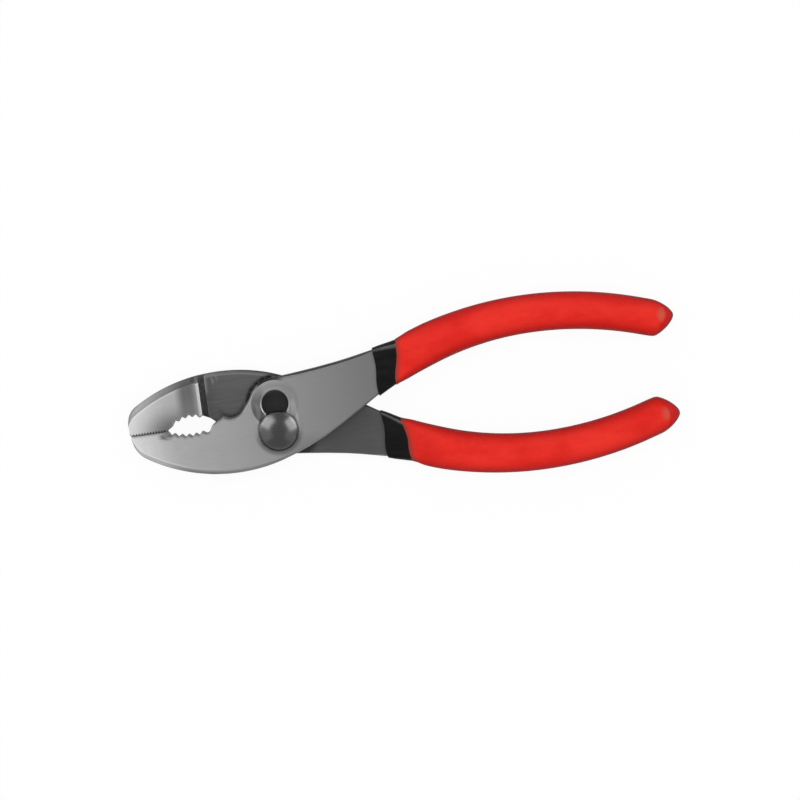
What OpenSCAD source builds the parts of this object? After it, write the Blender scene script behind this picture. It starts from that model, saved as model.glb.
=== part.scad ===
// Slip joint pliers: two forged levers lapped on a pivot bolt that sits in either end of a keyhole slot,
// with grips dipped in two coats. +X runs along the jaw line to the handles, +Y towards the front handle,
// and +Z out of the bolt's head. The origin is on the pivot axis, at the surface that the tool lies on.

/* [Overall] */
// Pivot axis to the nose of the front jaw
jaw_reach = 44; // [40:0.5:52]
// Pivot axis to the tip of the front grip
handle_reach = 122; // [105:1:140]
// How much shorter the rear handle is
rear_handle_trim = 2; // [0:0.5:4]
// Tool axis to the middle line of the front grip where it bows widest
front_spread = 20.4; // [19:0.1:23]
// Tool axis to the middle line of the rear grip where it bows widest
rear_spread = 20.9; // [19:0.1:23]

/* [Jaws] */
// Tool axis to the back of the front jaw
front_jaw_depth = 14.8; // [13:0.1:17]
// Tool axis to the back of the rear jaw
rear_jaw_depth = 16.15; // [14:0.05:18]
// Radius of the arc along the back of each jaw
back_r = 49.5; // [44:0.5:60]
// How far ahead of the pivot axis the front jaw is deepest
front_back_x = 13.5; // [11:0.5:16]
// How far ahead of the pivot axis the rear jaw is deepest
rear_back_x = 15.9; // [13:0.1:18]
// Radius of the front jaw's nose
front_nose_r = 3.5; // [2.5:0.1:4]
// Radius of the rear jaw's nose
rear_nose_r = 2.6; // [2:0.1:3.5]
// How far the rear jaw's nose stands past the front one
rear_nose_extra = 0.4; // [0.1:0.1:1]
// Height of the closed jaw line over the tool axis
jaw_rise = 0.4; // [0:0.1:1]
// Thickness of the jaws at the nose
nose_t = 6.4; // [5:0.1:8]
// Length over which the nose tapers
nose_taper_l = 16; // [10:0.5:20]
// Width of the bevel along the front jaw's back edges
front_bevel_w = 1.5; // [0.6:0.1:2.2]
// Height of that bevel
front_bevel_h = 1.1; // [0.5:0.1:1.6]
// Width of the bevel along the rear jaw's back edges
rear_bevel_w = 2.8; // [1.5:0.1:3.2]
// Height of that bevel
rear_bevel_h = 1.4; // [0.8:0.1:2]
// How far the step beside the lap lies ahead of the pipe grip's end
step_lead = 1.5; // [0.8:0.1:2]
// Length of the step's sloping wall
step_l = 1.8; // [1:0.1:2.5]
// Length of the hollow ground into the face ahead of the step
hollow_l = 6; // [4:0.5:8]
// Depth of that hollow
hollow_h = 0.45; // [0.2:0.05:0.7]
// Length of the ridge between the hollow and the step
ridge_l = 0.9; // [0.4:0.1:1.2]
// How far the ridge lies below the face
ridge_h = 0.1; // [0:0.05:0.2]

/* [Teeth] */
// Pitch of the fine teeth along the flat nose
fine_pitch = 0.85; // [0.7:0.05:1.4]
// Depth of the fine teeth
fine_depth = 0.4; // [0.2:0.05:0.6]
// Length of the pipe grip
pipe_l = 12.6; // [11:0.1:15]
// Pitch of the pipe grip's teeth
pipe_pitch = 2.1; // [1.6:0.1:3]
// Depth of the pipe grip's teeth
pipe_tooth_depth = 0.95; // [0.5:0.05:1.2]
// How far the pipe grip hollows the front jaw
front_pipe_sag = 1.6; // [1:0.1:3]
// How far the pipe grip hollows the rear jaw
rear_pipe_sag = 3.2; // [2:0.1:4]
// Ramp from the pipe grip up to the wire notch
rise_l = 4.7; // [3.5:0.1:6]

/* [Joint] */
// Thickness of one lever at the joint
lever_t = 4.6; // [4.2:0.1:5]
// Distance between the two holes of the slot
slip_step = 8.15; // [7.5:0.05:9]
// Diameter of the bolt's shank in the slot
shank_d = 8; // [7.2:0.1:8.6]
// Width over the two flats of the shank
flats_w = 6; // [5:0.1:6.6]
// Diameter of the bolt's round journal in the rear lever
journal_d = 6.4; // [6:0.1:7]
// Steel round the upper hole of the front lever
front_boss_wall = 3.8; // [3.4:0.1:4.4]
// Steel round the hole of the rear lever
rear_boss_wall = 3.7; // [3.5:0.1:4.4]
// Radius of the wire notch
notch_r = 4.2; // [3.5:0.1:5]
// Gap between the arcs of the wire notch and the boss
notch_gap = 1.2; // [0.8:0.1:2]
// How far the centre of the wire notch lies past the hole's
notch_lift = 2; // [1:0.1:3]

/* [Pivot bolt and nut] */
// Diameter of the domed head
head_d = 11.8; // [11:0.1:12.4]
// Height of the dome over its rim
dome_h = 2.9; // [2:0.1:3.6]
// Height of the head's upright rim
rim_h = 0.4; // [0.2:0.1:0.8]
// Depth of the dished seat round the slot
seat_depth = 0.7; // [0.5:0.1:1.2]
// Width of the seat's sloping edge
seat_slope_w = 2.2; // [1.4:0.1:2.3]
// How far the seat reaches past the head
seat_margin = 0.9; // [0.5:0.1:1.2]
// Chamfer round the slot's mouth
slot_chamfer = 0.3; // [0.1:0.05:0.35]
// Diameter of the bolt's threaded end
thread_d = 5.4; // [4.8:0.1:5.8]
// Width of the nut over its flats
nut_af = 9.6; // [9:0.1:10]
// Thickness of the nut
nut_h = 2.8; // [2.2:0.1:3.2]
// Height of the bevel on the nut's corners
nut_bevel = 0.5; // [0.2:0.1:0.8]

/* [Handles] */
// Pivot axis to the throat, where the lever's plate ends
throat_x = 30; // [26:0.5:30.5]
// Width of the lever at the throat
throat_w = 14.1; // [12:0.1:16]
// Tool axis to the middle of the throat
throat_y = 8.9; // [8:0.1:10]
// Width of the bevel along the outer edge of the lever's plate
handle_bevel_w = 1.25; // [0.8:0.05:1.6]
// Height of that bevel
handle_bevel_h = 0.9; // [0.5:0.05:1.2]
// Pivot axis to where the handles bow widest
bow_x = 78.5; // [70:0.5:86]
// Radius of the handles' bow ahead of its widest place
bow_r = 98; // [85:1:140]
// Radius of the handles' bow behind it
bow_tail_r = 108; // [85:1:140]
// Width of the tang at its root
tang_root_w = 10.1; // [9:0.1:11.5]
// Width of the tang along the grip
tang_w = 8.6; // [7.8:0.1:10]
// Width of the tang at its tail
tang_tail_w = 8; // [7:0.1:9.5]
// Thickness of the tang
tang_t = 8.4; // [8:0.1:9.4]
// Rounding of the tang's edges
tang_r = 3.2; // [2:0.1:3.8]
// Length of the rounded tail
tail_l = 7; // [5:0.5:10]

/* [Grips] */
// Thickness of the black base coat
base_coat = 0.55; // [0.4:0.05:0.8]
// Thickness of the red cover coat
cover_coat = 0.95; // [0.7:0.05:1.2]
// Pivot axis to the front edge of the base coat
base_start = 31.2; // [30.8:0.1:33]
// Length of the black collar that the cover leaves bare
collar_l = 6.4; // [5:0.1:8]
// Slant of the cover's front edge, in degrees
dip_slant = 7.5; // [0:0.5:12]

/* [Hidden] */
$fn = 96;

// How much steeper the seat's sides are between its two holes than round them, over the seat's depth
seat_waist = 0.2;

// Clearances between pieces
lap_gap = 0.1;
jaw_gap = 0.1;
pin_clear = 0.05;
head_clear = 0.1;
nut_clear = 0.3;
overrun = 1;

// Small edge roundings and the bevel behind the lap, and how much of a wall an edge may take
edge_r = 0.8;
lap_edge_r = 0.25;
lap_bevel = [1.2, 0.6];
tooth_edge_r = 0.15;
// How far a lever's edges are flattened towards bevels, where 1 is round
edge_bend = 1.5;
edge_limit_share = 0.45;
corner_steps = 3;

// Where the lever's plate steps away from the lap, and where its tang sinks to the middle of the tool
relief_lead = 4;
relief_l = 2.8;
sink_lead = 2.2;
sink_l = 14;
// Where the jaw's back arc ends and the handle's inner edge begins, and where its outer bevel is full
back_end_x = 4;
outer_fade_l = 6;
// Where the tang takes over from the plate, and the length that sets its direction there
tang_lead = 2.3;
tang_settle_l = 6;

// Length over which the slant of the cover's front edge dies out along the grip
slant_fade_l = 14;
// How the coats thicken from their front edges
base_lip_l = 1.6;
base_lip_share = 0.75;
cover_lip_l = 8;
cover_lip_share = 0.4;
tip_coat_share = 1.6;

// Shape of the rounded tail, and of the tang's and the nose's tapers
tail_bend = 1.35;
tail_top_bend = 3;
tail_blunt = 0.66;
tang_fade = 4;
tail_fade = 3;
nose_ease = 1.5;

// Arcs of the wire notch and the boss, in degrees and steps
notch_from = 233;
notch_to = 328;
notch_steps = 6;
boss_from = 160;
boss_to = 90;
boss_steps = 6;

// Outlines between the joint and the throat, as shares of their run and rise
outer_shares = [[0, 0], [0.13, 0.11], [0.33, 0.25], [0.67, 0.56], [1, 1]];
inner_shares = [[0, 0], [0.23, 0.17], [0.46, 0.38], [0.69, 0.64], [0.85, 0.82], [1, 1]];
plate_station_shares = [0.13, 0.3, 0.5, 0.7, 0.86];
// Ramps from the last pipe tooth to the wire notch, for the front lever and the rear lever
rise_shares = [[[0.16, 0.03], [0.25, 0.21], [0.37, 0.46], [0.55, 0.65], [0.77, 0.79]],
               [[0.32, 0.19], [0.59, 0.46], [0.8, 0.72]]];
// Place of the first pipe tooth valley, and its hollow's length, as shares of the pitch and the pipe grip
valley_shift_shares = [0.5, 1.25];
pipe_hollow_share = 1.14;
// Stations along the bare collar and round the tail
collar_shares = [0, 0.25, 0.6];
tail_shares = [0.16, 0.32, 0.47, 0.61, 0.73, 0.84, 0.93, 0.985];
grip_steps = 16;

// Levels: the tool axis lies midway between the two holes, and the grips and the nut rest on the surface
axis_y = slip_step / 2;
lap_z = tang_t / 2 + base_coat + cover_coat;
front_z = lap_z + lever_t;
seat_z = front_z - seat_depth;

// Places along the handles
cover_start = base_start + collar_l;
tang_x = cover_start + tang_lead;
relief_x = base_start - relief_lead;
sink_x = cover_start - sink_lead;
lap_relief = base_coat + lap_gap;

// Each list here has the front lever's value and then the rear lever's
nose_x = [-jaw_reach, -jaw_reach - rear_nose_extra];
jaw_depth = [front_jaw_depth, rear_jaw_depth];
back_x = [front_back_x, rear_back_x];
nose_r = [front_nose_r, rear_nose_r];
back_bevel = [[front_bevel_w, front_bevel_h], [rear_bevel_w, rear_bevel_h]];
face_w = [jaw_rise - jaw_gap / 2, -jaw_rise - jaw_gap / 2];
pipe_sag = [front_pipe_sag, rear_pipe_sag];
boss_r = [shank_d / 2 + front_boss_wall, journal_d / 2 + rear_boss_wall];
spread = [front_spread, rear_spread];
tip_x = [handle_reach, handle_reach - rear_handle_trim];
tail_x = [for (x = tip_x) x - tail_l];

// Places along the jaws, worked out from the boss forwards
notch_w = slip_step / 2 + notch_lift;
notch_x = [for (r = boss_r) -(r + notch_r + notch_gap)];
pipe_end_x = notch_x[0] + notch_r * cos(notch_from) - rise_l;
pipe_x = pipe_end_x - pipe_l;
step_x = pipe_end_x - step_lead;
fine_n = max(1, round((pipe_x - nose_x[0]) / fine_pitch));
fine_p = (pipe_x - nose_x[0]) / fine_n;
pipe_n = max(2, round(pipe_l / pipe_pitch));
pipe_p = pipe_l / pipe_n;
valley_n = [pipe_n, pipe_n - 1];

// Pivot bolt and nut
seat_rise = seat_depth / seat_slope_w;
seat_floor_r = head_d / 2 + seat_margin - seat_slope_w;
hole_r = shank_d / 2 + pin_clear;
nut_corner_r = nut_af / 2 / cos(30);

function clamp01(t) = max(0, min(1, t));
function smooth(t) = let (u = clamp01(t)) u * u * (3 - 2 * u);
function mix(a, b, t) = a + (b - a) * t;
function last(list) = list[len(list) - 1];
function arc(c, r, a) = [c.x + r * cos(a), c.y + r * sin(a)];
function along(a, b, shares) = [for (q = shares) [mix(a.x, b.x, q.x), mix(a.y, b.y, q.y)]];

// Smooth curve through points in order of x, with no overshoot between them
function chord(p, i) = (p[i + 1].y - p[i].y) / (p[i + 1].x - p[i].x);
function slope(p, i) =
    i == 0 ? chord(p, 0) :
    i == len(p) - 1 ? chord(p, i - 1) :
    let (a = chord(p, i - 1), b = chord(p, i)) a * b <= 0 ? 0 : 2 * a * b / (a + b);
function span(p, x, i = 0) = i >= len(p) - 2 || x <= p[i + 1].x ? i : span(p, x, i + 1);
function curve(p, x) =
    let (i = span(p, x), l = p[i + 1].x - p[i].x, t = (x - p[i].x) / l, u = 1 - t)
    p[i].y * u * u * (1 + 2 * t) + p[i + 1].y * t * t * (1 + 2 * u)
    + l * t * u * (u * slope(p, i) - t * slope(p, i + 1));

// Tang: its middle line, its half width across the tool, and how far the handle leans
function bow_at(x) = x < bow_x ? bow_r : bow_tail_r;
function lean(s, x) = (min(x, tail_x[s]) - bow_x) / bow_at(x);
function stretch(s, x) = 1 / sqrt(1 - pow(lean(s, x), 2));
function tang_mid(s, x) = spread[s] - bow_at(x) * (1 - sqrt(1 - pow(lean(s, x), 2)));
function tang_half(s, x) =
    let (t = clamp01((x - tang_x) / (tail_x[s] - tang_x)))
    (tang_w + (tang_root_w - tang_w) * pow(1 - t, tang_fade) + (tang_tail_w - tang_w) * pow(t, tail_fade))
    / 2 * stretch(s, x);
function tang_edge(s, side) =
    [for (x = [tang_x, tang_x + tang_settle_l]) [x, tang_mid(s, x) + side * tang_half(s, x)]];

// Teeth and edge of the jaw's working side, from the nose to the boss
function pipe_hollow(s, x) =
    let (t = (x - pipe_x) / (pipe_l * pipe_hollow_share)) face_w[s] - pipe_sag[s] * 4 * t * (1 - t);
function valley_x(s, i) = pipe_x + (i + valley_shift_shares[s]) * pipe_p;
function valley(s, i) = let (x = valley_x(s, i)) [x, pipe_hollow(s, x) - pipe_tooth_depth];
function crest(s, i) = let (x = valley_x(s, i) + pipe_p / 2) [x, pipe_hollow(s, x)];
// The two rows of fine teeth mesh: where one has a crest, the other has a valley
function fine_w(s, crest) = face_w[s] + (crest ? fine_depth : -fine_depth) / 2;
function fine_teeth(s) =
    [for (i = [0:fine_n - 1]) for (h = [1, 2]) [nose_x[0] + (i + h / 2) * fine_p, fine_w(s, h == 2 - s)]];
function pipe_teeth(s) = concat(
    s == 1 ? [crest(s, -1)] : [],
    [for (i = [0:valley_n[s] - 2]) each [valley(s, i), crest(s, i)]],
    [valley(s, valley_n[s] - 1)]);
function notch(s) =
    [for (i = [0:notch_steps])
        arc([notch_x[s], notch_w], notch_r, mix(notch_from, notch_to, i / notch_steps))];
function boss(s) =
    [for (i = [0:boss_steps])
        arc([0, slip_step / 2], boss_r[s], mix(boss_from, boss_to, i / boss_steps))];
function working_edge(s) = concat(
    s == 1 ? [[nose_x[1], fine_w(1, false)]] : [],
    [[nose_x[0], fine_w(s, s == 0)]],
    fine_teeth(s),
    pipe_teeth(s),
    along(last(pipe_teeth(s)), notch(s)[0], rise_shares[s]),
    notch(s),
    boss(s));
working_edges = [working_edge(0), working_edge(1)];

// Edge on the handle's outer side
function outer_edge(s) = concat(
    along([0, slip_step / 2 + boss_r[s]], [throat_x, throat_y + throat_w / 2], outer_shares),
    tang_edge(s, 1));
outer_edges = [outer_edge(0), outer_edge(1)];
function face_at(s, x) =
    x < 0 ? lookup(x, working_edges[s]) :
    x < tang_x ? curve(outer_edges[s], x) : tang_mid(s, x) + tang_half(s, x);

// Back of the jaw, running into the handle's inner edge
function back_arc(s, x) = back_r - jaw_depth[s] - sqrt(pow(back_r, 2) - pow(x + back_x[s], 2));
function nose_lift(s, x) =
    let (d = nose_r[s] - (x - nose_x[s])) d <= 0 ? 0 : nose_r[s] - sqrt(max(0, pow(nose_r[s], 2) - d * d));
function inner_edge(s) = concat(
    along([back_end_x, back_arc(s, back_end_x)], [throat_x, throat_y - throat_w / 2], inner_shares),
    tang_edge(s, -1));
inner_edges = [inner_edge(0), inner_edge(1)];
function back_at(s, x) =
    x < back_end_x ? back_arc(s, x) + nose_lift(s, x) :
    x < tang_x ? curve(inner_edges[s], x) : tang_mid(s, x) - tang_half(s, x);

// Outer face and lap face of a lever, measured out of the lap plane
function top_at(s, x) =
    x < base_start ?
        lever_t - (lever_t - nose_t / 2) * pow(1 - clamp01((x - nose_x[s]) / nose_taper_l), nose_ease) :
        mix(lever_t, tang_t / 2, smooth((x - base_start) / (sink_x + sink_l - base_start)));
function ground_at(x) =
    let (d = x - step_x + ridge_l)
    d < 0 ? hollow_h * smooth(d / hollow_l + 1) : mix(hollow_h, ridge_h, d / ridge_l);
function lap_at(s, x) =
    x < step_x ? ground_at(x) - top_at(s, x) :
    x < step_x + step_l ? mix(ridge_h - top_at(s, x), lap_gap / 2, (x - step_x) / step_l) :
    x < sink_x ? mix(lap_gap / 2, lap_relief, clamp01((x - relief_x) / relief_l)) :
    mix(lap_relief, -tang_t / 2, smooth((x - sink_x) / sink_l));

// Widths and heights of a lever's edge roundings, anticlockwise from the working edge of its outer face
function even(r) = [r, r];
function plate_part(x) = clamp01((x - step_x) / step_l);
function handle_part(x) = clamp01((x - relief_x) / (base_start - relief_x));
function edge_radii(s, x) =
    let (work = mix(tooth_edge_r, edge_r, smooth((x - pipe_end_x) / rise_l)),
         outer = mix(even(work), [handle_bevel_w, handle_bevel_h], smooth((x - back_end_x) / outer_fade_l)),
         back = mix(back_bevel[s], even(edge_r), smooth((x + back_x[s]) / (back_x[s] + back_end_x))),
         lap_back = mix(back_bevel[s], lap_bevel, plate_part(x)),
         lap_work = mix(tooth_edge_r, lap_edge_r, plate_part(x)))
    [mix(outer, even(edge_r), handle_part(x)), back, mix(lap_back, even(edge_r), handle_part(x)),
     even(mix(lap_work, edge_r, handle_part(x)))];
function tang_edge_r(x) = mix(edge_r, tang_r, smooth((x - base_start) / (sink_x + sink_l - base_start)));

// Cross-section at x: a rectangle with its own rounding at each corner
function bent(v, bend) = sign(v) * pow(abs(v), bend);
function fitted(r, w, h) =
    r * min(1, edge_limit_share * (w[1] - w[0]) / r.x, edge_limit_share * (h[1] - h[0]) / r.y);
function section(x, w, h, radii, bend) =
    [for (c = [0:3])
        let (r = fitted(radii[c], w, h),
             mid = [c == 0 || c == 3 ? w[1] - r.x : w[0] + r.x, c < 2 ? h[1] - r.y : h[0] + r.y])
        for (i = [0:corner_steps])
            let (a = 90 * (c + i / corner_steps))
            [x, mid.x + r.x * bent(cos(a), bend), mid.y + r.y * bent(sin(a), bend)]];
function lever_section(s, x) =
    section(x, [back_at(s, x), face_at(s, x)], [lap_at(s, x), top_at(s, x)], edge_radii(s, x), edge_bend);

// Cross-section of the tang with its coats: none for 0, the base for 1, the base and the cover for 2
function grow(d, l, share) = mix(share, 1, clamp01(d / l));
function coat_at(k, x) =
    (k > 0 ? base_coat * grow(x - base_start, base_lip_l, base_lip_share) : 0)
    + (k > 1 ? cover_coat * grow(x - cover_start, cover_lip_l, cover_lip_share) : 0);
function coat_tip(k, s) =
    tip_x[s] - tip_coat_share * ((k < 2 ? cover_coat : 0) + (k < 1 ? base_coat : 0));
function tail_round(k, s, x, bend) =
    pow(1 - pow(clamp01((x - tail_x[s]) / (coat_tip(k, s) - tail_x[s])), bend), tail_blunt);
function square_section(k, s, x) =
    let (t = coat_at(k, x),
         side = t * stretch(s, x),
         w = [back_at(s, x) - side, face_at(s, x) + side],
         h = [lap_at(s, x) - t, top_at(s, x) + t],
         r = even(tang_edge_r(x) + t))
    section(x, w, h, [r, r, r, r], 1);
// Each point of a slanted section lies on the square section at its own x
function slant_at(x) =
    let (ahead = (x - base_start) / collar_l, behind = 1 - smooth((x - cover_start) / slant_fade_l))
    tan(dip_slant) * (x < cover_start ? ahead : behind);
function tang_section(k, s, x) =
    let (plain = square_section(k, s, x), mid = (back_at(s, x) + face_at(s, x)) / 2)
    slant_at(x) == 0 ? plain :
    [for (j = [0:len(plain) - 1]) square_section(k, s, x + slant_at(x) * (plain[j].y - mid))[j]];
function tail_section(k, s, x) =
    let (t = coat_at(k, x), mid = tang_mid(s, x),
         side = tail_round(k, s, x, tail_bend), top = tail_round(k, s, x, tail_top_bend),
         half = side * (tang_half(s, x) + t * stretch(s, x)),
         high = top * (tang_t / 2 + t),
         r = even(side * (tang_r + t)))
    section(x, [mid - half, mid + half], [-high, high], [r, r, r, r], 1);

// Stations along a lever
function head_stations(s) =
    let (own = [for (p = working_edges[s]) p.x], step = [step_x - ridge_l, step_x, step_x + step_l])
    concat([for (x = own) if (x < step[0]) x], [step[0]],
           [for (x = own) if (x > step[0] && x < step[1]) x], [step[1]],
           [for (x = own) if (x > step[1] && x < step[2]) x], [step[2]],
           [for (x = own) if (x > step[2]) x]);
plate_stations = concat([for (q = plate_station_shares) q * relief_x], [relief_x, relief_x + relief_l]);
collar_stations = [for (q = collar_shares) base_start + q * collar_l];
function grip_stations(s) = [for (i = [0:grip_steps]) mix(cover_start, tail_x[s], i / grip_steps)];
function tail_stations(k, s) = [for (q = tail_shares) mix(tail_x[s], coat_tip(k, s), q)];
function coat_rings(k, s) = concat(
    [for (x = k < 2 ? collar_stations : []) tang_section(k, s, x)],
    [for (x = grip_stations(s)) tang_section(k, s, x)],
    [for (x = tail_stations(k, s)) tail_section(k, s, x)]);
// The cover's inside is the base coat's outside, without the collar
function cover_inside(s) = [for (i = [len(collar_shares):len(coat_rings(1, s)) - 1]) coat_rings(1, s)[i]];
function lever_rings(s) =
    concat([for (x = concat(head_stations(s), plate_stations)) lever_section(s, x)], coat_rings(0, s));

// Faces between rings of m points, and over one ring
function side_faces(rings, m, from, inward) =
    [for (i = [0:rings - 2]) for (j = [0:m - 1])
        let (a = from + i * m + j, b = from + i * m + (j + 1) % m)
        each (inward ? [[a, b, b + m], [a, b + m, a + m]] : [[a, a + m, b + m], [a, b + m, b]])];
function cap_faces(m, from, ahead) =
    [for (j = [1:m - 2]) ahead ? [from, from + j + 1, from + j] : [from, from + j, from + j + 1]];

// Solid through a row of rings
module loft(rings) {
    n = len(rings);
    m = len(rings[0]);
    polyhedron(
        points = [for (r = rings) each r],
        faces = concat(side_faces(n, m, 0, false), cap_faces(m, 0, false), cap_faces(m, (n - 1) * m, true)));
}

// Sleeve between two rows of rings, open at its front edge and closed at its tail
module sleeve(outside, inside) {
    n = len(outside);
    m = len(outside[0]);
    k = len(inside);
    polyhedron(
        points = [for (r = concat(outside, inside)) each r],
        faces = concat(
            side_faces(n, m, 0, false),
            side_faces(k, m, n * m, true),
            [for (j = [0:m - 1]) let (i = (j + 1) % m) each [[j, i, n * m + i], [j, n * m + i, n * m + j]]],
            cap_faces(m, (n - 1) * m, true),
            cap_faces(m, (n + k - 1) * m, false)));
}

// Lever frame: the front lever as it lies, the rear lever turned over about the tool axis
module as_front() {
    translate([0, axis_y, lap_z]) children();
}

module as_rear() {
    translate([0, axis_y, lap_z]) rotate([180, 0, 0]) children();
}

// Keyhole slot: two holes and the neck between them, chamfered at the seat
module slip_slot() {
    neck = flats_w / 2 + pin_clear;
    low = seat_z - slot_chamfer;
    high = slot_chamfer + seat_depth;
    for (y = [0, slip_step]) {
        translate([0, y, lap_z - overrun]) cylinder(r = hole_r, h = lever_t + 2 * overrun);
        translate([0, y, low]) cylinder(r1 = hole_r, r2 = hole_r + high, h = high);
    }
    translate([-neck, 0, lap_z - overrun]) cube([2 * neck, slip_step, lever_t + 2 * overrun]);
    translate([0, slip_step, low]) rotate([90, 0, 0]) linear_extrude(slip_step)
        polygon([[-neck, 0], [neck, 0], [neck + high, high], [-neck - high, high]]);
}

// Dished seat for the bolt's head, at both holes and between them
module head_seat() {
    deep = seat_depth + overrun;
    for (y = [0, slip_step]) {
        translate([0, y, seat_z])
            cylinder(r1 = seat_floor_r, r2 = seat_floor_r + deep / seat_rise, h = deep);
    }
    run = (seat_slope_w - seat_waist) / seat_depth * deep;
    wide = seat_floor_r + run;
    translate([0, slip_step, seat_z]) rotate([90, 0, 0]) linear_extrude(slip_step)
        polygon([[-seat_floor_r, 0], [seat_floor_r, 0], [wide, deep], [-wide, deep]]);
}

module front_lever() {
    color("#97999c") difference() {
        as_front() loft(lever_rings(0));
        slip_slot();
        head_seat();
    }
}

module rear_lever() {
    color("#6d6f72") difference() {
        as_rear() loft(lever_rings(1));
        translate([0, 0, -overrun]) cylinder(r = journal_d / 2 + pin_clear, h = front_z + overrun);
        translate([0, 0, -overrun]) cylinder(r = nut_corner_r + nut_clear, h = nut_h + head_clear + overrun);
    }
}

// Bolt: threaded end, round journal, shank with two flats, and a domed head on a sloping foot
module pivot_bolt() {
    foot_z = seat_z + head_clear;
    foot_r = seat_floor_r - head_clear;
    top_z = foot_z + (head_d / 2 - foot_r) * seat_rise + rim_h + dome_h;
    dome_r = (pow(head_d / 2, 2) + pow(dome_h, 2)) / (2 * dome_h);
    head_h = top_z + overrun - foot_z;
    color("#8b8d90") union() {
        cylinder(d = thread_d, h = foot_z + overrun);
        translate([0, 0, nut_h]) cylinder(d = journal_d, h = lap_z - nut_h);
        translate([0, 0, lap_z]) intersection() {
            cylinder(d = shank_d, h = foot_z - lap_z);
            translate([-flats_w / 2, -shank_d / 2, 0]) cube([flats_w, shank_d, foot_z - lap_z]);
        }
        intersection() {
            translate([0, 0, foot_z]) cylinder(d = head_d, h = head_h);
            translate([0, 0, foot_z]) cylinder(r1 = foot_r, r2 = foot_r + head_h / seat_rise, h = head_h);
            translate([0, 0, top_z - dome_r]) sphere(r = dome_r);
        }
    }
}

// Low hexagon nut, bevelled on the side that shows
module pivot_nut() {
    color("#7d7f82") difference() {
        intersection() {
            cylinder(r = nut_corner_r, h = nut_h, $fn = 6);
            union() {
                cylinder(r1 = nut_af / 2, r2 = nut_corner_r, h = nut_bevel);
                translate([0, 0, nut_bevel]) cylinder(r = nut_corner_r + overrun, h = nut_h - nut_bevel);
            }
        }
        translate([0, 0, -overrun]) cylinder(d = thread_d + 2 * pin_clear, h = nut_h + 2 * overrun);
    }
}

module front_grip_base() {
    color("#1b1b1d") as_front() sleeve(coat_rings(1, 0), coat_rings(0, 0));
}

module front_grip_cover() {
    color("#dd2a28") as_front() sleeve(coat_rings(2, 0), cover_inside(0));
}

module rear_grip_base() {
    color("#1b1b1d") as_rear() sleeve(coat_rings(1, 1), coat_rings(0, 1));
}

module rear_grip_cover() {
    color("#dd2a28") as_rear() sleeve(coat_rings(2, 1), cover_inside(1));
}

front_lever();
rear_lever();
pivot_bolt();
pivot_nut();
front_grip_base();
front_grip_cover();
rear_grip_base();
rear_grip_cover();
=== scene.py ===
import math

import bmesh
import bpy
from mathutils import Matrix, Vector
from mathutils.bvhtree import BVHTree


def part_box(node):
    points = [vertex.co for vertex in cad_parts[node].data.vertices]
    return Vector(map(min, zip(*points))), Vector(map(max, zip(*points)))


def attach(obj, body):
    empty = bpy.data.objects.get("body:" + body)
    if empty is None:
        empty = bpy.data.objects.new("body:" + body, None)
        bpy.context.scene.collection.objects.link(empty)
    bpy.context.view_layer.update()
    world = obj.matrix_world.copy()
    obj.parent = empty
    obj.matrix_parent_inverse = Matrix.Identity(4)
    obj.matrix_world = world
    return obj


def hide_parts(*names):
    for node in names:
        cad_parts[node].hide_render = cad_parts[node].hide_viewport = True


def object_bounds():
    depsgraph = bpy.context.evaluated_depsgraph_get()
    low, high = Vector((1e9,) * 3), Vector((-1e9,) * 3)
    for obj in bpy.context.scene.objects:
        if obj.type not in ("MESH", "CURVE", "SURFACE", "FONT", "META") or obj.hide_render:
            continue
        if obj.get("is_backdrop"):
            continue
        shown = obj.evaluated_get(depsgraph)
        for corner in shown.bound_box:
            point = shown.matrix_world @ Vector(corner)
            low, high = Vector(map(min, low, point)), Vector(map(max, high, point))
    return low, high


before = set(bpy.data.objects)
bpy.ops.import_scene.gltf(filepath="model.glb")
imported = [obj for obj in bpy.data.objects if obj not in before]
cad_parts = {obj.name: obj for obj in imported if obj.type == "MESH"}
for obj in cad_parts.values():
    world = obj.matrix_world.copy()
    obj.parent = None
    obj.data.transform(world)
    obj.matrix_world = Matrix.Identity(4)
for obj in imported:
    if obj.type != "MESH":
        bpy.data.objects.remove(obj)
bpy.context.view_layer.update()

MM = 0.001

# Distance within which points of a mesh are merged
MERGE = 0.001 * MM
# Angles between faces: a smooth edge and a flat one lie below, a steel rim and a coat's lip above
SMOOTH_ANGLE = math.radians(42)
FLAT_ANGLE = math.radians(0.4)
RIM_ANGLE = math.radians(40)
LIP_ANGLE = math.radians(60)
# How strongly large faces keep even shading, on the levers and on the bolt and nut
LEVER_EVENNESS = 100
TURNED_EVENNESS = 50

# Rounding of the bolt's rims, of the nut's rims and of the coats' lips
BOLT_RIM = 0.12 * MM
NUT_RIM = 0.1 * MM
LIP_RIM = 0.12 * MM
# Wave of a coat's mouth: its height, its length, and how far along the coat it dies out
WAVE_HEIGHT = -0.25 * MM
WAVE_LENGTH = 11 * MM
MOUTH_REACH = 6 * MM
# How thin a red coat is at its lip, as a share, and how far from the lip it is full
LIP_SHARE = 0.3
LIP_REACH = 3.5 * MM

# Level of the lap between the levers, midway through the grips, and how far the steel reaches above it
lap_z = sum(corner.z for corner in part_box("front_grip_cover")) / 2
steel_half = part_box("front_lever")[1].z - lap_z
# Where the closed jaw line lies on the way from the pivot axis to the upper hole, and the fine teeth's pitch
JAW_LINE = 4.43 * MM
FINE_PITCH = 0.85 * MM

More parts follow.
